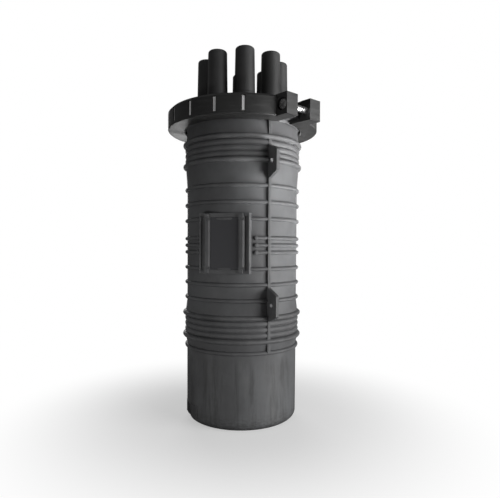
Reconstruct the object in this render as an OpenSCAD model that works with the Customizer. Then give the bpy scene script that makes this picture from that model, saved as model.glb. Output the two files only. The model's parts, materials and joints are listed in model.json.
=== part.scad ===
// Dome splice closure standing on its closed end, cable ports up.
// Origin: dome axis at the floor. +Z runs up to the ports, the label pad faces -Y.

/* [Dome shell] */
// Outside diameter of the dome under its flange
dome_d_top = 156; // [152:0.5:158]
// Outside diameter of the dome at its closed end
dome_d_bottom = 153; // [150:0.5:155]
// Wall thickness of the dome
dome_wall = 4; // [3:0.25:4.5]
// Height of the sealing face above the closed end
seal_z = 410.5; // [405:0.5:440]
// Rounding of the closed end
end_round = 9; // [6:0.5:10]
// Thickness of the closed end
end_wall = 6; // [5:0.5:9]
// Outside radius of the hollow under the closed end
end_hollow_r = 46; // [35:1:55]
// Radius of the flat pad in the middle of the closed end
end_pad_r = 18; // [12:1:28]
// Depth of the hollow under the closed end
end_hollow = 2; // [1:0.25:3]

/* [Dome ribs] */
// Height of a hoop rib above the wall
rib_h = 3; // [2:0.25:3.5]
// Width of a hoop rib at its root
rib_w = 5.4; // [4.5:0.1:6]
// Height of a thick band rib above the wall
band_rib_h = 5.9; // [4.5:0.1:6.5]
// Spacing of the ribs in the two bands
band_pitch = 7.5; // [7:0.1:8]
// Ribs in each band
band_ribs = 5; // [3:1:5]
// Drop from the sealing face to the first rib of the upper band
upper_band_drop = 33; // [31:0.5:36]
// Height of the first rib of the lower band
lower_band_z = 115; // [110:0.5:120]
// Spacing of the hoop ribs above the label pad
rib_pitch_high = 21.5; // [18:0.5:22]
// Spacing of the hoop ribs below the label pad
rib_pitch_low = 20.5; // [18:0.5:22]
// Spacing of the three short ribs beside the label pad
rib_pitch_mid = 9.3; // [8:0.1:10]
// Angle of the parting rib, from the front towards +X
parting_angle = 26; // [20:1:32]
// Width of the parting rib
parting_w = 4; // [3:0.5:5]
// Height of the parting rib above the wall
parting_h = 3.5; // [2.5:0.25:5]

/* [Mounting ears] */
// Height of the lower ear's hole
ear_z_low = 162; // [158:0.5:166]
// Height of the upper ear's hole
ear_z_high = 345.5; // [340:0.5:350]
// Reach of an ear from the wall under the flange
ear_out = 23; // [20:0.5:26]
// Length of an ear along the wall
ear_root = 45; // [40:1:48]
// Length of an ear's outer edge
ear_edge = 25; // [20:1:28]
// Thickness of an ear
ear_t = 4; // [3:0.25:5]
// Diameter of an ear's hole
ear_hole_d = 6.6; // [5.5:0.1:8.5]
// Distance of an ear's hole from the wall under the flange
ear_hole_out = 10.5; // [9:0.5:13]

/* [Label pad] */
// Height of the label pad's centre
label_z = 240.5; // [236:0.5:242]
// Angle of the label pad, from the front towards +X
label_angle = -16.5; // [-20:0.5:-14]
// Width of the label pad
label_w = 66.5; // [60:0.5:70]
// Height of the label pad
label_h = 77; // [72:1:80]
// Distance of the label pad's face from the dome axis
label_face = 80.5; // [80:0.25:82]
// Width of the bars beside the label field
label_bar = 8; // [6:0.5:9]
// Width of the grooves outside the bars
label_groove = 4.5; // [3:0.25:5]
// Width of the thin lip at the pad's sides
label_lip = 1.8; // [1.2:0.1:2.5]

/* [Foot pockets] */
// Height of the pockets at the closed end
pocket_h = 23.5; // [18:0.5:26]
// Depth of the pockets
pocket_depth = 4; // [3:0.25:4.5]
// Angle that a pocket covers
pocket_sweep = 30; // [20:1:36]

/* [Flange joint] */
// Thickness of each flange at its edge
flange_t = 6.5; // [6:0.25:7]
// Rise of the flanges' wedge faces across the flange
flange_wedge = 1.8; // [1:0.1:2.2]
// Thickness of the seal ring
seal_d = 6; // [5:0.25:6.5]
// Clearance of the clamp on the flanges
clamp_fit = 0.3; // [0.2:0.05:0.4]

/* [Clamp ring] */
// Outside diameter of the clamp ring
ring_d = 210; // [208:0.5:212]
// Height of the clamp ring
ring_h = 26; // [25:0.5:28]
// Wall of the clamp ring outside the flanges
ring_wall = 7; // [6:0.25:8]
// Clearance of the ring's lips round the dome
ring_lip_fit = 4; // [3:0.25:5]
// Chamfer on the ring's upper edge
ring_chamfer = 3; // [2:0.25:3.5]
// Angle between two windows in the ring
window_pitch = 20; // [18:1:24]
// Width of a window
window_w = 4.6; // [3:0.2:6]
// Height of a window
window_h = 19; // [16:0.5:19.5]
// Thickness of the steel band
band_t = 1; // [0.8:0.1:1.2]
// Angle of the clamp's split, from the front towards +X
split_angle = 40.5; // [38:0.5:44]
// Gap between the two clamp lugs
split_gap = 23; // [16:0.5:26]
// Width of a clamp lug along the bolt
lug_w = 19; // [18:0.5:21]
// Wall of the lugs outside the bolt
lug_wall = 8.8; // [8:0.2:11]

/* [Clamp bolt] */
// Nominal thread diameter of the clamp bolt
bolt_d = 8; // [6:1:8]
// Thread pitch of the clamp bolt
bolt_pitch = 1.25; // [1:0.25:1.25]
// Distance of the bolt from the flanges
bolt_out = 10.7; // [10:0.1:12]

/* [Cable ports] */
// Number of cable ports
port_count = 8; // [4:1:8]
// Radius of the circle of ports
port_circle_r = 50.8; // [48:0.2:54]
// Angle of the first port, from the front towards +X
port_angle = 3; // [0:1:8]
// Outside diameter of a port at its root
port_d_root = 28; // [26:0.5:30]
// Outside diameter of a port at its closed tip
port_d_tip = 25.5; // [23:0.5:26]
// Wall thickness of a port
port_wall = 2.6; // [2:0.2:3]
// Height of the port tips above the sealing face
port_rise = 88.5; // [70:0.5:110]
// Height of the root collars above the sealing face
collar_rise = 28.5; // [20:0.5:32]
// Extra radius of a root collar
collar_step = 0.8; // [0.4:0.1:1.5]
// Rounding of a port's tip
port_round = 3; // [2:0.5:4]

/* [Base plate] */
// Thickness of the base plate
base_plate_t = 6; // [5:0.5:7]
// Depth of the spigot that centres the base in the dome
spigot_h = 7; // [5:0.5:9]
// Radius of the screw hub in the middle of the base
hub_r = 24; // [22:0.5:26]

/* [Splice trays] */
// Number of splice trays
tray_count = 4; // [4:1:4]
// Width of a tray
tray_w = 90; // [84:1:92]
// Length of a tray
tray_l = 185; // [170:1:200]
// Thickness of a tray
tray_t = 9; // [8:0.5:9.5]
// Spacing of the trays
tray_pitch = 10.5; // [10:0.1:11]
// Wall thickness of a tray
tray_wall = 1.6; // [1.2:0.1:2]
// Corner radius of a tray
tray_corner = 22; // [16:1:26]
// Diameter of the hinge pins
pin_d = 4; // [3.5:0.1:4.5]
// Radial clearance of the hinge pins
pin_fit = 0.1; // [0.05:0.01:0.1]
// Drop from the sealing face to the tray hinges
hinge_drop = 31; // [30:0.5:36]

/* [Bracket and basket] */
// Thickness of the steel bracket
bracket_t = 2; // [1.5:0.25:2.5]
// Width of the bracket
bracket_w = 76; // [70:1:80]
// Height of the bracket's lower end above the floor
bracket_foot_z = 64; // [50:1:90]
// Depth of the storage basket
basket_depth = 34; // [26:1:36]
// Height of the storage basket
basket_h = 210; // [180:1:230]
// Wall thickness of the storage basket
basket_wall = 2; // [1.6:0.1:2.4]

/* [Hidden] */
$fn = 96;
eps = 0.01;

// Radii and heights that the dome is drawn from
r_top = dome_d_top / 2;
r_end = dome_d_bottom / 2;
flange_r = ring_d / 2 - ring_wall;
bolt_r = flange_r + bolt_out;
lug_reach = bolt_r + lug_wall;
wedge_root_r = r_top + 3;
flange_low_z = seal_z - flange_t - flange_wedge;
pocket_top_z = pocket_h + 8;
rib_half = rib_w / 2;
mid_rib_z = label_z - 2.2;

ear_reach = r_top + ear_out;
ear_hole_r = r_top + ear_hole_out;

function r_out(z) = r_end + (r_top - r_end) * z / flange_low_z;
function r_in(z) = r_out(z) - dome_wall;
// Drop of a flange's wedge face at radius r, from the sealing face
function wedge_drop(r) = flange_t + flange_wedge * (flange_r - r) / (flange_r - wedge_root_r);
function arc(cx, cy, r, from, to, n = 6) =
    [for (i = [0 : n]) let (a = from + (to - from) * i / n) [cx + r * cos(a), cy + r * sin(a)]];
// Half-round rib in the dome's profile; sweep under 90 leaves a filled valley beside it
function rib(z, h, half, sweep = 90, n = 8) =
    [for (i = [0 : n]) let (a = -sweep + 2 * sweep * i / n) [r_out(z) + h * cos(a), z + half * sin(a)]];
function band_end(i) = i == 0 || i == band_ribs - 1;
function band(z0) =
    [for (i = [0 : band_ribs - 1])
        each rib(z0 + i * band_pitch, band_end(i) ? band_rib_h : rib_h, band_pitch / 2, 72)];
function flat(list) = [for (part = list) each part];

module turned(points) {
    rotate_extrude() polygon(points);
}

// Turns its children from the front (-Y) towards +X; they are drawn along +X as radius
module at_angle(a) {
    rotate([0, 0, a - 90]) children();
}

// Plate in the radius-height plane, centred on the plane
module radial_plate(points, t) {
    rotate([90, 0, 0]) translate([0, 0, -t / 2]) linear_extrude(t) polygon(points);
}

// Frame at the clamp's split: X runs outwards, Y along the bolt towards the far lug
module at_split() {
    at_angle(split_angle) children();
}

// ---- Dome ----

lower_band = band(lower_band_z);
upper_band_z = seal_z - upper_band_drop - (band_ribs - 1) * band_pitch;
below_label = label_z - label_h / 2 + 6;
above_label = label_z + label_h / 2 - 7;
inner_step_r = r_end - pocket_depth - dome_wall;

dome_profile = concat(
    [[0, 0], [end_pad_r, 0], [end_pad_r + end_hollow, end_hollow],
     [end_hollow_r - end_hollow, end_hollow], [end_hollow_r, 0]],
    arc(r_end - end_round, end_round, end_round, -90, 0, 10),
    rib(lower_band_z - 2 * band_pitch, rib_h, rib_half),
    lower_band,
    flat([for (i = [2 : -1 : 0]) rib(below_label - i * rib_pitch_low, rib_h, rib_half)]),
    flat([for (i = [0 : 2]) rib(above_label + i * rib_pitch_high, rib_h, rib_half)]),
    band(upper_band_z),
    [[r_out(flange_low_z - 3), flange_low_z - 3], [wedge_root_r, flange_low_z],
     [flange_r - 1, seal_z - wedge_drop(flange_r - 1)], [flange_r, seal_z - wedge_drop(flange_r) + 1],
     [flange_r, seal_z - 1], [flange_r - 1, seal_z], [r_in(flange_low_z), seal_z],
     [r_in(flange_low_z), flange_low_z],
     [r_in(pocket_top_z + 6), pocket_top_z + 6], [inner_step_r, pocket_top_z]],
    arc(inner_step_r - 8, end_wall + 8, 8, 0, -90, 6),
    [[0, end_wall]]
);

module dome() color([0.16, 0.16, 0.17]) {
    difference() {
        union() {
            turned(dome_profile);
            for (side = [0, 180]) {
                at_angle(parting_angle + side) {
                    parting_rib();
                    ear(ear_z_low);
                    ear(ear_z_high);
                }
            }
            for (i = [-1 : 1]) {
                short_rib(mid_rib_z + i * rib_pitch_mid);
            }
            label_pad();
        }
        for (side = [-90, 90]) {
            foot_pocket(parting_angle + side);
        }
        for (side = [0, 180]) {
            at_angle(parting_angle + side) {
                ear_hole(ear_z_low);
                ear_hole(ear_z_high);
            }
        }
    }
}

module parting_rib() {
    low = lower_band_z - 2 * band_pitch;
    high = flange_low_z + 2;
    sunk = dome_wall / 2;
    radial_plate([[r_out(low) - sunk, low], [r_out(low) + parting_h, low],
        [r_out(high) + parting_h, high], [r_out(high) - sunk, high]], parting_w);
}

module ear(z) {
    sunk = r_end - dome_wall / 2;
    radial_plate([[sunk, z - ear_root / 2], [r_out(z) + 1, z - ear_root / 2],
        [ear_reach - 2, z - ear_edge / 2 - 2], [ear_reach, z - ear_edge / 2],
        [ear_reach, z + ear_edge / 2], [ear_reach - 2, z + ear_edge / 2 + 2],
        [r_out(z) + 1, z + ear_root / 2], [sunk, z + ear_root / 2]], ear_t);
}

module ear_hole(z) {
    translate([ear_hole_r, 0, z]) rotate([90, 0, 0])
        cylinder(d = ear_hole_d, h = ear_t + 2, center = true);
}

// Hoop rib that stops beside the label pad with round tips
module short_rib(z) {
    half_gap = asin((label_w / 2 + rib_w) / r_out(z));
    start = label_angle + half_gap;
    sweep = 360 - 2 * half_gap;
    rotate([0, 0, start - 90]) rotate_extrude(angle = sweep)
        polygon(concat([[r_out(z) - 2, z - rib_half]], rib(z, rib_h, rib_half),
            [[r_out(z) - 2, z + rib_half]]));
    for (a = [start, start + sweep]) {
        at_angle(a) translate([r_out(z) - 2, 0, z]) rotate([0, 90, 0])
            cylinder(r = rib_half + 0.2, h = rib_h + 1.5);
    }
}

// Flat pad: a bare label field between two bars, a groove and a thin lip at each side, four corner posts
module label_pad() {
    bar_y = label_w / 2 - label_lip - label_groove - label_bar / 2;
    field_w = 2 * bar_y - label_bar;
    foot = label_z - label_h / 2;
    post = 5;
    difference() {
        at_angle(label_angle) {
            difference() {
                translate([r_end - 12, -label_w / 2, foot])
                    cube([label_face - r_end + 12, label_w, label_h]);
                translate([label_face - 1, -field_w / 2, foot + 5]) cube([5, field_w, label_h - 10]);
                for (side = [-1, 1]) {
                    translate([label_face - 2.2, side * (bar_y + (label_bar + label_groove) / 2) - label_groove / 2, foot + 4])
                        cube([5, label_groove, label_h - 8]);
                }
            }
            for (side = [-1, 1]) {
                translate([label_face - 1, side * bar_y, foot + 9]) label_bar_body(label_h - 18);
                for (end = [-1, 1]) {
                    translate([label_face - 1, side * bar_y - post / 2, label_z + end * (label_h / 2 - 3.5) - post / 2])
                        cube([3.6, post, post]);
                }
            }
        }
        translate([0, 0, foot - label_h / 2]) cylinder(r = r_end - dome_wall / 2, h = 2 * label_h);
    }
}

// Bar along Z with sloping sides, standing on the pad's face
module label_bar_body(h) {
    linear_extrude(h) polygon([[0, -label_bar / 2], [1.4, -label_bar / 2], [2.6, -label_bar / 2 + 2],
        [2.6, label_bar / 2 - 2], [1.4, label_bar / 2], [0, label_bar / 2]]);
}

// Shallow pocket in the wall at the closed end
module foot_pocket(a) {
    rotate([0, 0, a - pocket_sweep / 2 - 90]) rotate_extrude(angle = pocket_sweep)
        translate([r_end - pocket_depth, -1]) square([pocket_depth + 5, pocket_h + 1]);
}

// ---- Base with its cable ports ----

base_low_z = seal_z + 3;
base_top_z = base_low_z + base_plate_t;
port_tip_z = seal_z + port_rise;
spigot_r = r_in(flange_low_z) - 0.5;
groove_w = seal_d + 0.6;
groove_h = seal_d - 0.8;
seal_r = (r_in(flange_low_z) + flange_r) / 2;

base_profile = concat(
    [[0, base_low_z], [spigot_r - 4, base_low_z], [spigot_r - 4, seal_z - spigot_h],
     [spigot_r - 1, seal_z - spigot_h], [spigot_r, seal_z - spigot_h + 1], [spigot_r, seal_z],
     [seal_r - groove_w / 2, seal_z], [seal_r - groove_w / 2, seal_z + groove_h],
     [seal_r + groove_w / 2, seal_z + groove_h], [seal_r + groove_w / 2, seal_z],
     [flange_r - 1, seal_z], [flange_r, seal_z + 1],
     [flange_r, seal_z + wedge_drop(flange_r) - 1], [flange_r - 1, seal_z + wedge_drop(flange_r - 1)],
     [wedge_root_r, seal_z + wedge_drop(wedge_root_r)]],
    [[wedge_root_r - 2, base_top_z + 2], [wedge_root_r - 8, base_top_z + 2], [wedge_root_r - 10, base_top_z],
     [hub_r + 2, base_top_z], [hub_r, base_top_z + 2], [hub_r, base_top_z + 6], [0, base_top_z + 6]]
);

module base() color([0.13, 0.13, 0.14]) {
    difference() {
        union() {
            turned(base_profile);
            for (i = [0 : port_count - 1]) {
                at_port(i) port_body();
            }
        }
        for (i = [0 : port_count - 1]) {
            at_port(i) port_bore();
        }
        at_bracket_screws() translate([0, 0, base_low_z - 1]) cylinder(r = screw_r + 0.1, h = 9);
    }
}

module at_port(i) {
    at_angle(port_angle + i * 360 / port_count) translate([port_circle_r, 0, 0]) children();
}

function port_r(z) =
    (port_d_root + (port_d_tip - port_d_root) * (z - base_top_z) / (port_tip_z - base_top_z)) / 2;

module port_body() {
    collar_z = seal_z + collar_rise;
    low = base_low_z + 1;
    turned(concat(
        [[0, low], [port_r(base_top_z) + collar_step, low],
         [port_r(collar_z) + collar_step, collar_z - 1], [port_r(collar_z), collar_z]],
        arc(port_d_tip / 2 - port_round, port_tip_z - port_round, port_round, 0, 90, 6),
        [[0, port_tip_z]]));
}

module port_bore() {
    low = base_low_z - 1;
    high = port_tip_z - port_wall - 1;
    turned([[0, low], [port_r(low) - port_wall, low], [port_r(high) - port_wall, high - 2],
        [port_r(high) - port_wall - 2, high], [0, high]]);
}

// ---- Seal and clamp ----

module seal_ring() color([0.10, 0.10, 0.10]) {
    radius = (groove_h - 0.1) / 2;
    translate([0, 0, seal_z + radius + 0.05]) rotate_extrude()
        translate([seal_r, 0]) circle(r = radius);
}

ring_r = ring_d / 2;
lip_r = r_top + ring_lip_fit;
half_ring = ring_h / 2;
channel_r = flange_r + 2.3;
relief_h = window_h + 1;
lug_root_r = flange_r - 10;
lug_proud = 0.3;

// Half of the ring's section above the sealing face, from the channel to the outer wall
function ring_half(chamfer) = [
    [channel_r, relief_h / 2], [flange_r + 0.5, relief_h / 2],
    [flange_r + 0.5, wedge_drop(flange_r) + clamp_fit], [lip_r, wedge_drop(lip_r) + clamp_fit],
    [lip_r, half_ring - 1], [lip_r + 1, half_ring], [ring_r - chamfer, half_ring],
    [ring_r, half_ring - chamfer]
];
function mirrored(points) = [for (i = [len(points) - 1 : -1 : 0]) [points[i][0], -points[i][1]]];

module clamp_ring() color([0.12, 0.12, 0.12]) {
    difference() {
        union() {
            translate([0, 0, seal_z]) {
                turned(concat(ring_half(ring_chamfer), mirrored(ring_half(1))));
            }
            difference() {
                at_split() for (side = [-1, 1]) {
                    translate([lug_root_r, side * (split_gap + lug_w) / 2 - lug_w / 2, seal_z - half_ring - lug_proud])
                        cube([lug_reach - lug_root_r, lug_w, ring_h + 2 * lug_proud]);
                }
                translate([0, 0, seal_z - ring_h]) cylinder(r = channel_r + 2, h = 2 * ring_h);
            }
        }
        at_split() {
            translate([lip_r - 10, -split_gap / 2, seal_z - half_ring - 1])
                cube([lug_reach, split_gap, ring_h + 2]);
            bolt_axis() {
                cylinder(r = bolt_d / 2 + 0.5, h = 2 * (split_gap + 2 * lug_w), center = true);
                translate([0, 0, -lug_out - 1]) cylinder(r = head_pocket_r, h = head_pocket + 1);
                translate([0, 0, lug_out - nut_pocket]) rotate([0, 0, 30])
                    cylinder(r = (nut_flats + 0.4) / sqrt(3), h = nut_pocket + 1, $fn = 6);
            }
        }
        for (a = [2 * window_pitch : window_pitch : 360 - 2 * window_pitch]) {
            at_angle(split_angle + a) translate([flange_r, -window_w / 2, seal_z - window_h / 2])
                cube([ring_r, window_w, window_h]);
        }
    }
}

module clamp_band() color([0.75, 0.76, 0.78]) {
    outer = channel_r - 0.1;
    from = split_angle + 12;
    rotate([0, 0, from - 90]) rotate_extrude(angle = 336)
        translate([outer - band_t, seal_z - relief_h / 2 + 0.2]) square([band_t, relief_h - 0.4]);
}

// Bolt sizes, all from the thread diameter
head_d = 1.625 * bolt_d;
head_h = bolt_d;
washer_t = 0.2 * bolt_d;
washer_d = 1.875 * bolt_d;
nut_flats = 1.625 * bolt_d;
nut_h = 0.8 * bolt_d;
head_pocket_r = washer_d / 2 + 0.3;
head_pocket = head_h + washer_t + 1.4;
nut_pocket = nut_h + 1.5;
lug_out = split_gap / 2 + lug_w;
thread_r = bolt_d / 2 - 0.3;
head_seat = -lug_out + head_pocket - washer_t;
bolt_end = lug_out - 0.5;

// Along the bolt: Z runs from the head towards the nut
module bolt_axis() {
    translate([bolt_r, 0, seal_z]) rotate([-90, 0, 0]) children();
}

module clamp_bolt() color([0.70, 0.71, 0.73]) {
    at_split() bolt_axis() difference() {
        turned([[0, head_seat - head_h], [head_d / 2 - 0.8, head_seat - head_h],
            [head_d / 2, head_seat - head_h + 0.8], [head_d / 2, head_seat], [thread_r, head_seat],
            [thread_r, bolt_end - 1], [thread_r - 1, bolt_end], [0, bolt_end]]);
        translate([0, 0, head_seat - head_h - 1])
            cylinder(r = 0.75 * bolt_d / sqrt(3), h = head_h / 2 + 1, $fn = 6);
    }
}

module clamp_washer() color([0.72, 0.73, 0.75]) {
    at_split() bolt_axis() translate([0, 0, head_seat]) difference() {
        cylinder(d = washer_d, h = washer_t);
        translate([0, 0, -1]) cylinder(r = thread_r + 0.3, h = washer_t + 2);
    }
}

module clamp_nut() color([0.72, 0.73, 0.75]) {
    at_split() bolt_axis() translate([0, 0, lug_out - nut_pocket]) difference() {
        rotate([0, 0, 30]) cylinder(r = nut_flats / sqrt(3), h = nut_h, $fn = 6);
        translate([0, 0, -1]) cylinder(r = thread_r + 0.3, h = nut_h + 2);
    }
}

// ---- Steelwork under the base ----

anchor_r = 36.5;
anchor_t = 2;
anchor_low_z = base_low_z - anchor_t;
anchor_tab_h = 14;
anchor_tab_w = 12;
anchor_hole_z = anchor_low_z - anchor_tab_h / 2 - 1;
screw_r = 2.5;
screw_head_r = 4.6;
screw_head_h = 3;
screw_spread = 14;
bracket_top_z = anchor_low_z - bracket_t;
bracket_front_y = 6;
bracket_back_y = bracket_front_y + bracket_t;
bracket_screw_y = -9;
tie_slots = 7;
tie_slot_in = 13;
tie_slot_pitch = (bracket_top_z - bracket_foot_z) / (tie_slots + 1.6);

// Pan-head screw along +Z, its head seat at the origin and its head below
module screw(shank_r, head_r, head_h, length) {
    turned([[0, -head_h], [head_r - 1, -head_h], [head_r, -head_h + 1], [head_r, 0],
        [shank_r, 0], [shank_r, length - 1], [shank_r - 0.8, length], [0, length]]);
}

module at_bracket_screws() {
    for (x = [-screw_spread, screw_spread]) {
        for (y = [bracket_screw_y, bracket_screw_y - 10]) {
            translate([x, y, 0]) children();
        }
    }
}

module anchor_plate() color([0.62, 0.63, 0.65]) {
    difference() {
        union() {
            translate([0, 0, anchor_low_z]) cylinder(r = anchor_r, h = anchor_t);
            for (i = [0 : port_count - 1]) {
                at_angle(port_angle + i * 360 / port_count)
                    translate([anchor_r - 3.5, -anchor_tab_w / 2, anchor_low_z - anchor_tab_h])
                        cube([anchor_t, anchor_tab_w, anchor_tab_h + 1]);
            }
        }
        at_bracket_screws() translate([0, 0, anchor_low_z - 1]) cylinder(r = screw_r + 0.3, h = anchor_t + 2);
        for (i = [0 : port_count - 1]) {
            at_anchor_screw(i) translate([0, 0, -5]) cylinder(r = screw_r - 0.3, h = 10);
        }
    }
}

module at_anchor_screw(i) {
    at_angle(port_angle + i * 360 / port_count)
        translate([anchor_r - 3.5 + anchor_t, 0, anchor_hole_z]) rotate([0, -90, 0]) children();
}

module anchor_screws() color([0.72, 0.73, 0.75]) {
    for (i = [0 : port_count - 1]) {
        at_anchor_screw(i) screw(screw_r - 0.4, screw_head_r, screw_head_h, 7);
    }
}

module bracket() color([0.62, 0.63, 0.65]) {
    flange_w = 44;
    flange_y = bracket_screw_y - 16;
    difference() {
        union() {
            translate([-bracket_w / 2, bracket_front_y, bracket_foot_z])
                cube([bracket_w, bracket_t, bracket_top_z - 22 - bracket_foot_z]);
            translate([-flange_w / 2, bracket_front_y, bracket_top_z - 24])
                cube([flange_w, bracket_t, 24 + bracket_t]);
            translate([-flange_w / 2, flange_y, bracket_top_z])
                cube([flange_w, bracket_back_y - flange_y, bracket_t]);
        }
        at_bracket_screws() translate([0, 0, bracket_top_z - 1]) cylinder(r = screw_r + 0.3, h = bracket_t + 2);
        // Slots that lighten the plate and take cable ties
        for (x = [-1, 1]) {
            for (k = [0 : tie_slots - 1]) {
                translate([x * (bracket_w / 2 - tie_slot_in) - 3, bracket_front_y - 1,
                    bracket_foot_z + tie_slot_in + k * tie_slot_pitch])
                    cube([6, bracket_t + 2, 0.55 * tie_slot_pitch]);
            }
        }
        at_carrier_screws() translate([0, 0, -5]) cylinder(r = carrier_screw_r + 0.2, h = 20);
        at_basket_screws() translate([0, 0, -10]) cylinder(r = carrier_screw_r + 0.2, h = 20);
    }
}

module bracket_screws() color([0.72, 0.73, 0.75]) {
    at_bracket_screws() translate([0, 0, bracket_top_z]) screw(screw_r, screw_head_r, screw_head_h, 10);
}

// ---- Splice trays on their carrier ----

hinge_z = seal_z - hinge_drop;
tray_top_z = hinge_z - 8;
tray_low_z = tray_top_z - tray_l;
cheek_x = 32;
cheek_t = 4;
carrier_back_t = 3;
carrier_screw_r = 2;
carrier_high_z = hinge_z + 17;
carrier_low_z = hinge_z - 6;
tray_back_y = bracket_front_y - 2;

function tray_back(i) = tray_back_y - (i - 1) * tray_pitch;
function tray_mid(i) = tray_back(i) - tray_t / 2;

module at_carrier_screws() {
    for (x = [-18, 18]) {
        translate([x, bracket_front_y - carrier_back_t, hinge_z + 12]) rotate([-90, 0, 0]) children();
    }
}

module tray_carrier() color([0.85, 0.85, 0.82]) {
    reach = tray_mid(tray_count) - pin_d;
    difference() {
        union() {
            translate([-cheek_x - cheek_t, bracket_front_y - carrier_back_t, carrier_low_z])
                cube([2 * (cheek_x + cheek_t), carrier_back_t, carrier_high_z - carrier_low_z]);
            for (side = [-1, 1]) {
                translate([side * (cheek_x + cheek_t / 2) - cheek_t / 2, reach, hinge_z - 5])
                    cube([cheek_t, bracket_front_y - reach, 10]);
            }
        }
        for (i = [1 : tray_count]) {
            translate([0, tray_mid(i), hinge_z]) rotate([0, 90, 0])
                cylinder(r = pin_d / 2 + pin_fit, h = 3 * cheek_x, center = true);
        }
        at_carrier_screws() translate([0, 0, -1]) cylinder(r = carrier_screw_r + 0.2, h = 6);
    }
}

module carrier_screws() color([0.72, 0.73, 0.75]) {
    at_carrier_screws() screw(carrier_screw_r, 3.6, 2.2, carrier_back_t + bracket_t + 3);
}

// Rounded outline of a tray in the X-Z plane
module tray_outline(inset) {
    r = tray_corner - inset;
    w = tray_w - 2 * inset;
    h = tray_l - 2 * inset;
    translate([0, (tray_top_z + tray_low_z) / 2]) {
        square([w - 2 * r, h], center = true);
        square([w, h - 2 * r], center = true);
        for (x = [-1, 1]) {
            for (z = [-1, 1]) {
                translate([x * (w / 2 - r), z * (h / 2 - r)]) circle(r = r);
            }
        }
    }
}

// Extrudes an X-Z outline from y towards -Y
module slab(y, t) {
    translate([0, y, 0]) rotate([90, 0, 0]) linear_extrude(t) children();
}

splice_z = (tray_top_z + tray_low_z) / 2;
holder_w = 0.38 * tray_w;
holder_l = tray_l / 3;
holder_slots = 6;
holder_pitch = holder_w / (holder_slots + 0.5);

module tray(i) color([0.90, 0.90, 0.88]) {
    back = tray_back(i);
    hub_z = tray_l / 2 - 30;
    difference() {
        union() {
            difference() {
                slab(back, tray_t) tray_outline(0);
                slab(back - tray_wall, tray_t) tray_outline(tray_wall);
            }
            // Bend-limiting hubs above and below the splices
            for (z = [-hub_z, hub_z]) {
                translate([0, 0, splice_z + z]) slab(back - tray_wall + eps, tray_t - tray_wall - 1) difference() {
                    circle(r = 17);
                    circle(r = 15.4);
                }
            }
            // Retaining tabs over the fibre channel
            for (x = [-1, 1]) {
                for (z = [-50, 0, 50]) {
                    translate([x * (tray_w / 2 - 5) - 4, back - tray_t, splice_z + z - 3])
                        cube([8, 1.2, 6]);
                }
            }
            tray_tongue(i);
        }
        // Entries for the fibre tubes at the hinge end
        for (x = [-1, 1]) {
            translate([x * 26 - 4, back - tray_t - 1, tray_top_z - 3 * tray_wall])
                cube([8, tray_t - tray_wall, 4 * tray_wall]);
        }
    }
}

module tray_tongue(i) {
    half = cheek_x - 1.5;
    translate([-half + 8, tray_mid(i) - 1.5, tray_top_z - 1]) cube([2 * half - 16, 3, hinge_z - tray_top_z + 1]);
    translate([0, tray_mid(i), hinge_z]) rotate([0, 90, 0]) {
        cylinder(r = pin_d / 2 + 1, h = 2 * half, center = true);
        cylinder(d = pin_d, h = 2 * (cheek_x + cheek_t) - 1, center = true);
    }
}

module splice_holder(i) color([0.35, 0.37, 0.40]) {
    back = tray_back(i) - tray_wall;
    difference() {
        translate([-holder_w / 2, back - 5.5, splice_z - holder_l / 2]) cube([holder_w, 5.5, holder_l]);
        for (k = [0 : holder_slots - 1]) {
            translate([(k - (holder_slots - 1) / 2) * holder_pitch - 1.7, back - 6.5, splice_z - holder_l / 2 - 1])
                cube([3.4, 4.8, holder_l + 2]);
        }
    }
}

module tray_cover() color([0.80, 0.86, 0.90, 0.5]) {
    front = tray_back(tray_count) - tray_t;
    slab(front, 1.2) difference() {
        tray_outline(0);
        translate([0, tray_low_z + 10]) circle(r = 5);
    }
}

// ---- Storage basket behind the bracket ----

basket_w = bracket_w + 4;
basket_screw_x = 0.21 * bracket_w;
basket_screw_in = 0.12 * basket_h;
basket_top_z = bracket_top_z - 0.19 * basket_h;
basket_low_z = basket_top_z - basket_h;

module at_basket_screws() {
    for (x = [-basket_screw_x, basket_screw_x]) {
        for (z = [basket_low_z + basket_screw_in, basket_top_z - basket_screw_in]) {
            translate([x, bracket_back_y + basket_wall, z]) rotate([90, 0, 0]) children();
        }
    }
}

module basket_outline(inset) {
    r = 16 - inset;
    w = basket_w - 2 * inset;
    h = basket_h - 2 * inset;
    translate([0, (basket_top_z + basket_low_z) / 2]) {
        square([w - 2 * r, h], center = true);
        square([w, h - 2 * r], center = true);
        for (x = [-1, 1]) {
            for (z = [-1, 1]) {
                translate([x * (w / 2 - r), z * (h / 2 - r)]) circle(r = r);
            }
        }
    }
}

module storage_basket() color([0.86, 0.86, 0.83]) {
    mid = (basket_top_z + basket_low_z) / 2;
    front = bracket_back_y + basket_depth;
    difference() {
        union() {
            difference() {
                slab(front, basket_depth) basket_outline(0);
                slab(front + 1, basket_depth + 1 - basket_wall) basket_outline(basket_wall);
            }
            for (x = [-1, 1]) {
                for (z = [-basket_h / 3, 0, basket_h / 3]) {
                    translate([x * (basket_w / 2 - 6) - 6, front - 2, mid + z - 5]) cube([12, 2, 10]);
                }
            }
        }
        // Entries for the loose tubes at the top and bottom
        for (z = [basket_low_z - 1, basket_top_z - 5]) {
            translate([-12, bracket_back_y + 12, z]) cube([24, basket_depth, 6]);
        }
        at_basket_screws() translate([0, 0, -5]) cylinder(r = carrier_screw_r + 0.2, h = 20);
    }
}

module basket_screws() color([0.72, 0.73, 0.75]) {
    at_basket_screws() rotate([0, 0, 0]) screw(carrier_screw_r, 3.6, 2.2, basket_wall + bracket_t + 1.5);
}

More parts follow.
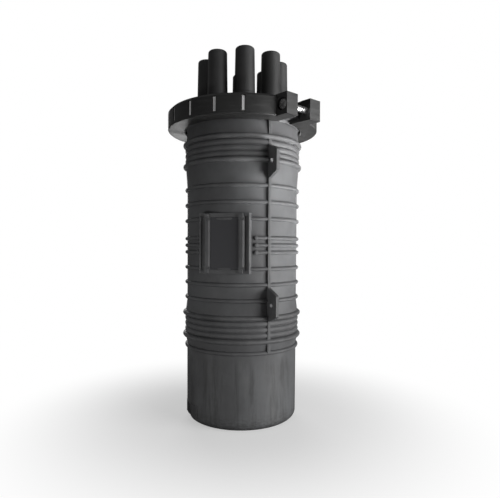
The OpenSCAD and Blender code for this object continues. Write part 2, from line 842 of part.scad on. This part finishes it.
dome();
base();
seal_ring();
clamp_ring();
clamp_band();
clamp_bolt();
clamp_washer();
clamp_nut();
anchor_plate();
anchor_screws();
bracket();
bracket_screws();
tray_carrier();
carrier_screws();
tray(1);  // splice_tray_1
tray(2);  // splice_tray_2
tray(3);  // splice_tray_3
tray(4);  // splice_tray_4
splice_holder(1);  // splice_holder_1
splice_holder(2);  // splice_holder_2
splice_holder(3);  // splice_holder_3
splice_holder(4);  // splice_holder_4
tray_cover();
storage_basket();
basket_screws();
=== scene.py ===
"""Dome splice closure, cable ports up, standing on its closed end in plain studio light."""
import json
import math

import bmesh
import bpy
from mathutils import Matrix, Vector


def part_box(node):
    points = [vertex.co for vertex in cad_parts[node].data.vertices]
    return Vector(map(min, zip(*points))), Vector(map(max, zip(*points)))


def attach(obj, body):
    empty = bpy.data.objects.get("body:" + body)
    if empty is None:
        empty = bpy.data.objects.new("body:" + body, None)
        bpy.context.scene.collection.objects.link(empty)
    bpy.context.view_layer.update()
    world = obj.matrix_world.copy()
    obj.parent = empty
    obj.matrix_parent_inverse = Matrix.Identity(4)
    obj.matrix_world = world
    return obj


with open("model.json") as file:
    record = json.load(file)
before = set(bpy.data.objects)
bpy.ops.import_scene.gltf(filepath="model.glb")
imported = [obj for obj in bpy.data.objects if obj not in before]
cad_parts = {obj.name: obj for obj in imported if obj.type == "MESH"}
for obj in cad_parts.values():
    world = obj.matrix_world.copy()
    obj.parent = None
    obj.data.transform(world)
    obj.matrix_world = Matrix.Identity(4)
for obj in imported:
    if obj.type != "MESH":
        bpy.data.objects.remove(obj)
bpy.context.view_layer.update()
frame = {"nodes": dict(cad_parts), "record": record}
NODES = frame["nodes"]
RECORD = frame["record"]
JOINTS = {joint["name"]: joint for joint in RECORD["behaviour"]["joints"]}

# ---- Sizes of the closure, in metres ----

# The dome's upper face, where it meets the base
SEAL_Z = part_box("dome")[1].z
# The wall's radius grows from the closed end to the underside of the flange
WALL_LOW_R = 0.0765
WALL_HIGH_R = 0.078
FLANGE_Z = SEAL_Z - 0.0083
# Angles are counted from the front (-Y) towards +X
PARTING_ANGLE = math.radians(26)
LABEL_ANGLE = math.radians(-16.5)
LABEL_Z = 0.2405
LABEL_W = 0.0665
LABEL_H = 0.077


def wall_r(z):
    """Outer radius of the dome's plain wall at a height."""
    return WALL_LOW_R + (WALL_HIGH_R - WALL_LOW_R) * z / FLANGE_Z


def seat(angle, radius, z):
    """Matrix of a place round the closure's axis, where +X points outwards and +Z up."""
    return Matrix.Rotation(angle - math.pi / 2, 4, "Z") @ Matrix.Translation((radius, 0, z))


def put(name, data):
    """Makes an object of its data and puts it in the scene."""
    thing = bpy.data.objects.new(name, data)
    bpy.context.scene.collection.objects.link(thing)
    return thing


# ---- Node helpers ----

class Nodes:
    """A node tree, with short calls for the nodes that finishes, room and floor share."""

    def __init__(self, tree):
        self.tree = tree
        tree.nodes.clear()

    def add(self, kind, **settings):
        node = self.tree.nodes.new(kind)
        for key, value in settings.items():
            setattr(node, key, value)
        return node

    def link(self, source, target):
        self.tree.links.new(source, target)

    def feed(self, socket, value):
        """Sets a socket to a number or a colour, or links it to another socket."""
        if isinstance(value, (int, float)):
            socket.default_value = value
        elif isinstance(value, tuple):
            socket.default_value = (*value, 1.0)
        else:
            self.link(value, socket)

    def math(self, operation, *values):
        node = self.add("ShaderNodeMath", operation=operation)
        for socket, value in zip(node.inputs, values):
            self.feed(socket, value)
        return node.outputs[0]

    def product(self, first, *others):
        for other in others:
            first = self.math("MULTIPLY", first, other)
        return first

    def ramp(self, value, low, high, out_low=0.0, out_high=1.0, curve="SMOOTHSTEP"):
        node = self.add("ShaderNodeMapRange", interpolation_type=curve)
        limits = {"From Min": low, "From Max": high, "To Min": out_low, "To Max": out_high}
        for key, number in limits.items():
            node.inputs[key].default_value = number
        self.link(value, node.inputs["Value"])
        return node.outputs[0]

    def mix(self, factor, a, b):
        """Mixes two colours, each a colour or a socket."""
        node = self.add("ShaderNodeMix", data_type="RGBA")
        # Inputs 6 and 7 and output 2 are the node's colour sockets
        for socket, value in (("Factor", factor), (6, a), (7, b)):
            self.feed(node.inputs[socket], value)
        return node.outputs[2]

    def blend(self, factor, a, b):
        """Mixes two shaders."""
        node = self.add("ShaderNodeMixShader")
        for socket, source in zip(node.inputs, (factor, a, b)):
            self.link(source, socket)
        return node.outputs[0]


class Finish(Nodes):
    """A material, with short calls for its patterns and its shader's sockets."""

    def __init__(self, name):
        self.material = bpy.data.materials.new(name)
        self.material.use_nodes = True
        super().__init__(self.material.node_tree)
        self.shader = self.add("ShaderNodeBsdfPrincipled")
        self.surface = self.add("ShaderNodeOutputMaterial").inputs["Surface"]
        self.link(self.shader.outputs[0], self.surface)
        self.place = self.add("ShaderNodeTexCoord").outputs["Object"]

    def set(self, **sockets):
        for key, value in sockets.items():
            self.shader.inputs[key.replace("_", " ")].default_value = value

    def colour(self, value):
        self.feed(self.shader.inputs["Base Color"], value)

    def roughness(self, value):
        self.feed(self.shader.inputs["Roughness"], value)

    def normal(self, value):
        self.feed(self.shader.inputs["Normal"], value)

    def stretched(self, scale, shift=(0, 0, 0)):
        node = self.add("ShaderNodeMapping")
        node.inputs["Scale"].default_value = scale
        node.inputs["Location"].default_value = shift
        self.link(self.place, node.inputs["Vector"])
        return node.outputs[0]

    def noise(self, scale, detail=3.0, rough=0.55, where=None, distortion=0.0):
        node = self.add("ShaderNodeTexNoise")
        node.inputs["Scale"].default_value = scale
        node.inputs["Detail"].default_value = detail
        node.inputs["Roughness"].default_value = rough
        node.inputs["Distortion"].default_value = distortion
        self.link(where or self.place, node.inputs["Vector"])
        return node.outputs["Fac"]

    def patches(self, low, high, *noise, **more):
        """Noise turned into soft patches, from none at its low level to full at its high one."""
        return self.ramp(self.noise(*noise, **more), low, high)

    def bump(self, height, distance, strength=1.0, after=None):
        node = self.add("ShaderNodeBump")
        node.inputs["Strength"].default_value = strength
        node.inputs["Distance"].default_value = distance
        self.link(height, node.inputs["Height"])
        if after:
            self.link(after, node.inputs["Normal"])
        return node.outputs[0]

    def axes(self):
        node = self.add("ShaderNodeSeparateXYZ")
        self.link(self.place, node.inputs[0])
        return node.outputs

    def radius(self):
        """Distance from the closure's axis."""
        x, y = self.axes()[:2]
        return self.math("SQRT", self.math("ADD", self.product(x, x), self.product(y, y)))

    def above_wall(self):
        """Height above the dome's plain wall, in metres."""
        slope = (WALL_HIGH_R - WALL_LOW_R) / FLANGE_Z
        wall = self.math("MULTIPLY_ADD", self.axes()[2], slope, WALL_LOW_R)
        return self.math("SUBTRACT", self.radius(), wall)


def grey(value, tint=(1.0, 1.0, 1.0)):
    return tuple(value * t for t in tint)


# ---- Finishes ----

# Stretches a pattern along Z, as wear from handling and rain runs
UPRIGHT = (1.0, 1.0, 0.25)


def dome_plastic():
    """Worn black polypropylene: rubbed rib crests, vertical smears low down, a scuffed foot."""
    plain, faded = grey(0.062, (1.0, 1.0, 1.03)), grey(0.088, (0.98, 1.0, 1.03))
    rubbed, smeared, chalky, scuffed = grey(0.13), grey(0.026), grey(0.105), grey(0.022)
    crest_starts, crest_full = 0.0016, 0.0034
    smears_end, smears_full = 0.100, 0.080
    scuffs_end, scuffs_full = 0.024, 0.004

    f = Finish("dome plastic")
    height = f.axes()[2]
    tone = f.mix(f.patches(0.36, 0.66, 11.0, 4.0, 0.6), plain, faded)
    crest = f.product(f.ramp(f.above_wall(), crest_starts, crest_full),
                      f.patches(0.35, 0.7, 45.0, 4.0, 0.65))
    tone = f.mix(f.product(crest, 0.35), tone, rubbed)

    low = f.ramp(height, smears_end, smears_full)
    runs = f.stretched((1.0, 1.0, 0.10))
    smear = f.patches(0.47, 0.63, 62.0, 5.0, 0.7, where=runs, distortion=0.3)
    tone = f.mix(f.product(low, smear, 0.55), tone, smeared)
    runs = f.stretched((1.0, 1.0, 0.22), (0.3, 0.1, 0.7))
    chalk = f.patches(0.52, 0.72, 38.0, 5.0, 0.7, where=runs)
    tone = f.mix(f.product(low, chalk, 0.5), tone, chalky)

    rings = f.stretched((1.0, 1.0, 3.0))
    scuff = f.patches(0.38, 0.62, 150.0, 5.0, 0.7, where=rings)
    foot = f.product(f.ramp(height, scuffs_end, scuffs_full), scuff)
    f.colour(f.mix(f.product(foot, 0.6), tone, scuffed))

    wear = f.ramp(f.noise(70.0, 5.0, 0.7, where=f.stretched(UPRIGHT)), 0.3, 0.75, 0.54, 0.70)
    f.roughness(f.math("ADD", wear, f.product(crest, 0.08)))
    f.set(Specular_IOR_Level=0.36)
    grain = f.bump(f.noise(2600.0, 2.0, 0.5), 0.00012, 0.3)
    waves = f.bump(f.noise(26.0, 2.0, 0.5), 0.0007, 0.25, after=grain)
    lines = f.noise(520.0, 3.0, 0.6, where=f.stretched((1.0, 1.0, 0.05)))
    f.normal(f.bump(f.product(low, lines), 0.0001, 0.5, after=waves))
    return f.material


def base_plastic():
    """Cleaner, darker polypropylene of the base and its ports."""
    f = Finish("base plastic")
    blotches = f.patches(0.35, 0.68, 9.0, 4.0, 0.6)
    f.colour(f.mix(blotches, grey(0.020), grey(0.030, (0.99, 1.0, 1.02))))
    wear = f.noise(70.0, 5.0, 0.7, where=f.stretched(UPRIGHT))
    f.roughness(f.ramp(wear, 0.3, 0.75, 0.43, 0.6))
    grain = f.bump(f.noise(2600.0, 2.0, 0.5), 0.00012, 0.35)
    f.normal(f.bump(f.noise(28.0, 2.0, 0.5), 0.0006, 0.25, after=grain))
    return f.material


def ring_plastic():
    """Darkest plastic, with faint flow lines round its outer wall."""
    f = Finish("ring plastic")
    blotches = f.patches(0.36, 0.66, 14.0, 4.0, 0.6)
    flow = f.noise(90.0, 5.0, 0.7, where=f.stretched((0.35, 0.35, 5.0)), distortion=0.4)
    tone = f.mix(blotches, grey(0.011), grey(0.017, (1.0, 1.0, 0.98)))
    f.colour(f.mix(f.ramp(flow, 0.5, 0.7, 0.0, 0.5), tone, grey(0.040)))
    f.roughness(f.ramp(flow, 0.35, 0.7, 0.38, 0.52))
    grain = f.bump(f.noise(2400.0, 2.0, 0.5), 0.00012, 0.3)
    f.normal(f.bump(flow, 0.0004, 0.35, after=grain))
    return f.material


def label_film():
    """Plain dark film in the label field, without print."""
    f = Finish("label film")
    f.colour(grey(0.046, (0.98, 0.98, 1.06)))
    f.set(Roughness=0.62, Specular_IOR_Level=0.25)
    f.normal(f.bump(f.noise(900.0, 2.0, 0.5), 0.00005, 0.2))
    return f.material


def steel(name, tone, rough, stretch, metal=1.0):
    """Steel with fine streaks along the direction that it was rolled or drawn in."""
    f = Finish(name)
    f.set(Metallic=metal)
    streak = f.noise(260.0, 4.0, 0.6, where=f.stretched(stretch))
    f.colour(f.mix(streak, grey(tone * 0.86), grey(tone)))
    f.roughness(f.ramp(streak, 0.3, 0.7, rough - 0.08, rough + 0.08))
    f.normal(f.bump(streak, 0.00005, 0.3))
    return f.material


def rubber(name, tone):
    """Dull rubber with a fine grain."""
    f = Finish(name)
    f.colour(f.mix(f.noise(120.0), grey(tone * 0.8), grey(tone)))
    f.set(Roughness=0.75)
    f.normal(f.bump(f.noise(1500.0, 2.0), 0.0001, 0.4))
    return f.material


def tray_plastic():
    """Off-white moulding of the splice trays."""
    f = Finish("tray plastic")
    f.colour(f.mix(f.noise(30.0), (0.70, 0.70, 0.67), (0.78, 0.78, 0.75)))
    f.set(Roughness=0.4)
    f.normal(f.bump(f.noise(1800.0, 2.0), 0.00008, 0.3))
    return f.material


def cover_plastic():
    """Clear, faintly rippled sheet of the tray cover."""
    f = Finish("cover plastic")
    f.colour(f.mix(f.noise(20.0), (0.80, 0.84, 0.86), (0.86, 0.89, 0.90)))
    f.set(Roughness=0.12, IOR=1.49, Alpha=0.35)
    f.normal(f.bump(f.noise(60.0, 2.0), 0.00004, 0.2))
    return f.material


FINISHES = {
    "dome_plastic": dome_plastic(),
    "base_plastic": base_plastic(),
    "ring_plastic": ring_plastic(),
    "seal_rubber": rubber("seal rubber", 0.02),
    "band_steel": steel("band steel", 0.78, 0.45, (0.2, 0.2, 4.0), metal=0.25),
    "zinc_steel": steel("zinc steel", 0.62, 0.3, (1.0, 1.0, 1.0)),
    "sheet_steel": steel("sheet steel", 0.50, 0.35, (4.0, 0.3, 0.3)),
    "tray_plastic": tray_plastic(),
    "holder_rubber": rubber("holder rubber", 0.16),
    "cover_plastic": cover_plastic(),
    "label_film": label_film(),
}


def dress_nodes():
    """Gives every CAD node the finish of its record slot."""
    for part in RECORD["subparts"]:
        mesh = NODES[part["node"]].data
        for i in range(len(mesh.materials)):
            mesh.materials[i] = FINISHES[part["material_slot"]]


dress_nodes()


# ---- Small pieces ----

def piece(name, bm, finish, body):
    """Turns a bmesh into a finished piece that rides on a body."""
    mesh = bpy.data.meshes.new(name)
    bmesh.ops.remove_doubles(bm, verts=bm.verts, dist=1e-6)
    bmesh.ops.recalc_face_normals(bm, faces=bm.faces)
    bm.to_mesh(mesh)
    bm.free()
    mesh.materials.append(FINISHES[finish])
    obj = put(name, mesh)
    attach(obj, body)


def block(bm, size, place):
    """Adds a box, moved from the origin by a matrix, and returns its corners."""
    corners = bmesh.ops.create_cube(bm, size=1.0)["verts"]
    bmesh.ops.scale(bm, vec=size, verts=corners)
    bmesh.ops.transform(bm, matrix=place, verts=corners)
    return corners


def bolt_frame():
    """Matrix of the clamp bolt, where +Z runs from its head towards the nut."""
    place = Vector(JOINTS["bolt_turn"]["pos_m"])
    towards_head = Vector(JOINTS["bolt_travel"]["axis"]).normalized()
    turn = (-towards_head).to_track_quat("Z", "X").to_matrix().to_4x4()
    return Matrix.Translation(place) @ turn


def bolt_thread():
    """Rolled M8 thread round the bolt's shank, from the head's seat to the end."""
    pitch, root_r, crest_r = 0.00125, 0.0036, 0.00397
    low, high = -0.0195, 0.0285
    # Half widths of the thread at its root and crest, as shares of the pitch
    root, crest = 0.42, 0.08
    steps = 24
    turns = int((high - low) / pitch) - 1
    bm = bmesh.new()
    profile = [(root_r, -root), (crest_r, -crest), (crest_r, crest), (root_r, root)]
    points = [bm.verts.new((r, 0, low + share * pitch)) for r, share in profile]
    edges = [bm.edges.new(pair) for pair in zip(points, points[1:])]
    bmesh.ops.spin(bm, geom=points + edges, axis=(0, 0, 1), cent=(0, 0, 0),
                   angle=turns * math.tau, dvec=(0, 0, pitch / steps), steps=turns * steps)
    bmesh.ops.transform(bm, matrix=bolt_frame(), verts=bm.verts)
    piece("bolt_thread", bm, "zinc_steel", "bolt")


def band_windows():
    """Bright lands of the steel band, seen through the clamp ring's windows."""
    out, across, tall, rounding = 0.0032, 0.0042, 0.0184, 0.0006
    land_r = 0.1022
    pitch = math.radians(20)
    # The two windows at the split have no land
    first, last = 2, 16
    bolt = Vector(JOINTS["bolt_turn"]["pos_m"])
    split = math.atan2(bolt.x, -bolt.y)
    bm = bmesh.new()
    for i in range(first, last + 1):
        block(bm, (out, across, tall), seat(split + pitch * i, land_r, SEAL_Z))
    edges = [e for e in bm.edges if e.calc_length() > (out + across) / 2]
    bmesh.ops.bevel(bm, geom=edges, offset=rounding, segments=2, profile=0.5,
                    affect="EDGES", material=-1)
    piece("band_windows", bm, "band_steel", "closure")


def label_sheet():
    """Thin film between the bars of the label pad."""
    thick, wide, border = 0.0002, 0.0375, 0.0052
    field_r = 0.0796
    bm = bmesh.new()
    block(bm, (thick, wide, LABEL_H - 2 * border), seat(LABEL_ANGLE, field_r, LABEL_Z))
    piece("label_film", bm, "label_film", "closure")


def rib_noses():
    """Rounded tips of the three short ribs on both sides of the label pad."""
    rib_w, middle, pitch = 0.0054, LABEL_Z - 0.0022, 0.0093
    nose_r, nose_l, rounding, out = 0.00305, 0.004, 0.0016, 0.00105
    segments = 40
    outwards = Matrix.Rotation(math.pi / 2, 4, "Y")
    bm = bmesh.new()
    for i in (-1, 0, 1):
        z = middle + i * pitch
        gap = math.asin((LABEL_W / 2 + rib_w) / wall_r(z))
        for side in (-1, 1):
            nose = bmesh.ops.create_cone(bm, cap_ends=True, segments=segments, radius1=nose_r,
                                         radius2=nose_r, depth=nose_l)["verts"]
            edges = {e for v in nose for e in v.link_edges}
            rim = [e for e in edges if all(v.co.z > 0 for v in e.verts)]
            made = bmesh.ops.bevel(bm, geom=rim, offset=rounding, segments=4, profile=0.5,
                                   affect="EDGES", material=-1)
            verts = {v for v in nose if v.is_valid} | {v for f in made["faces"] for v in f.verts}
            place = seat(LABEL_ANGLE + side * gap, wall_r(z) + out, z) @ outwards
            bmesh.ops.transform(bm, matrix=place, verts=list(verts))
    piece("rib_noses", bm, "dome_plastic", "closure")


def pocket_rims():
    """Raised rim along the top and both sides of each foot pocket."""
    top, low, thick, steps = 0.0235, 0.0075, 0.0010, 24
    half_sweep = math.radians(15)
    low_r, top_r = wall_r(low), wall_r(top)
    bm = bmesh.new()
    for side in (-1, 1):
        middle = PARTING_ANGLE + side * math.pi / 2
        for edge in (-1, 1):
            place = seat(middle + edge * half_sweep, low_r, (top + low) / 2)
            beside = Matrix.Translation((0, edge * thick / 2, 0))
            block(bm, (thick, thick, top - low + thick), place @ beside)
        section = bmesh.ops.create_grid(bm, x_segments=1, y_segments=1, size=thick / 2)["verts"]
        upright = Matrix.Rotation(math.pi / 2, 4, "X")
        bmesh.ops.transform(bm, matrix=seat(middle - half_sweep, top_r, top) @ upright,
                            verts=section)
        edges = list({e for v in section for e in v.link_edges})
        faces = list({f for v in section for f in v.link_faces})
        bmesh.ops.spin(bm, geom=section + edges + faces, axis=(0, 0, 1), cent=(0, 0, 0),
                       angle=2 * half_sweep, steps=steps)
    piece("pocket_rims", bm, "dome_plastic", "closure")


def parting_flash():
    """Thin mould line on the crest of both parting ribs."""
    low, high = 0.1035, FLANGE_Z - 0.003
    rib_out, thick = 0.0035, 0.0006
    bm = bmesh.new()
    for angle in (PARTING_ANGLE, PARTING_ANGLE + math.pi):
        place = Matrix.Translation((rib_out, 0, (low + high) / 2))
        strip = block(bm, (thick, thick, high - low), place)
        for v in strip:
            v.co.x += wall_r(v.co.z)
        bmesh.ops.transform(bm, matrix=seat(angle, 0, 0), verts=strip)
    piece("parting_flash", bm, "dome_plastic", "closure")


bolt_thread()
band_windows()
label_sheet()
rib_noses()
pocket_rims()
parting_flash()


# ---- Camera, lights, room and floor ----

def make_camera():
    """Camera at mid height in front, turned and tipped by a fraction of a degree."""
    place = Matrix.Translation((0, -0.6666, 0.2354))
    yaw, pitch, roll = math.radians(-0.99), math.radians(90 - 0.177), math.radians(0.295)
    data = bpy.data.cameras.new("camera")
    data.lens = 33.5
    data.sensor_width = 36.0
    camera = put("camera", data)
    camera.matrix_world = (place @ Matrix.Rotation(yaw, 4, "Z")
                           @ Matrix.Rotation(pitch, 4, "X") @ Matrix.Rotation(roll, 4, "Z"))
    bpy.context.scene.camera = camera


def area_light(name, place, size, power, aim, spread=180):
    """Rectangular lamp that faces a point; its spread is in degrees."""
    data = bpy.data.lights.new(name, "AREA")
    data.shape = "RECTANGLE"
    data.size, data.size_y = size
    data.energy = power
    data.spread = math.radians(spread)
    lamp = put(name, data)
    lamp.location = place
    lamp.rotation_euler = (Vector(place) - Vector(aim)).to_track_quat("Z", "Y").to_euler()
    lamp.visible_camera = False


def make_lights():
    """A long window low at the right, light thrown back by the floor, and a fill behind."""
    area_light("window", (1.47, -0.78, 0.20), (1.2, 0.6), 44.0, (0, 0, 0.12))
    area_light("low right", (0.42, -0.06, 0.03), (0.3, 0.3), 2.2, (0.09, 0, 0.39), spread=70)
    area_light("low left", (-0.5, -0.42, 0.02), (0.6, 0.08), 1.5, (-0.05, 0, 0.10))
    area_light("behind", (-0.25, 1.8, 0.5), (1.0, 1.0), 14.0, (0, 0, 0.25))


def make_room():
    """Dim room, brighter towards +X, in front of a white backdrop."""
    dim, bright = 0.11, 0.22
    world = bpy.data.worlds.new("room")
    bpy.context.scene.world = world
    world.use_nodes = True
    n = Nodes(world.node_tree)
    sides = n.add("ShaderNodeSeparateXYZ")
    n.link(n.add("ShaderNodeTexCoord").outputs["Generated"], sides.inputs[0])
    room = n.add("ShaderNodeBackground")
    n.link(n.ramp(sides.outputs[0], -1.0, 1.0, dim, bright, curve="LINEAR"), room.inputs["Color"])
    backdrop = n.add("ShaderNodeBackground")
    backdrop.inputs["Color"].default_value = (1, 1, 1, 1)
    rays = n.add("ShaderNodeLightPath").outputs
    seen = n.math("MAXIMUM", rays["Is Camera Ray"], rays["Is Transmission Ray"])
    surface = n.add("ShaderNodeOutputWorld").inputs["Surface"]
    n.link(n.blend(seen, room.outputs[0], backdrop.outputs[0]), surface)


def make_floor():
    """Pale floor that keeps a soft shadow near the closure and fades to white further out."""
    floor_r, below = 4.0, 0.0003
    fade_starts, fade_full, least_fade = 0.09, 0.36, 0.45
    lit_by_rays, seen_by_camera = grey(0.22), grey(0.86)
    bm = bmesh.new()
    bmesh.ops.create_circle(bm, cap_ends=True, segments=96, radius=floor_r)
    mesh = bpy.data.meshes.new("floor")
    bm.to_mesh(mesh)
    bm.free()
    floor = put("floor", mesh)
    floor.location.z = -below
    f = Finish("floor")
    f.set(Roughness=0.9, Specular_IOR_Level=0.1)
    seen = f.add("ShaderNodeLightPath").outputs["Is Camera Ray"]
    f.colour(f.mix(seen, lit_by_rays, seen_by_camera))
    fade = f.ramp(f.radius(), fade_starts, fade_full, least_fade, 1.0)
    glow = f.add("ShaderNodeEmission").outputs[0]
    f.link(f.blend(f.product(fade, seen), f.shader.outputs[0], glow), f.surface)
    mesh.materials.append(f.material)


make_camera()
make_lights()
make_room()
make_floor()
bpy.context.scene.view_settings.view_transform = "Standard"
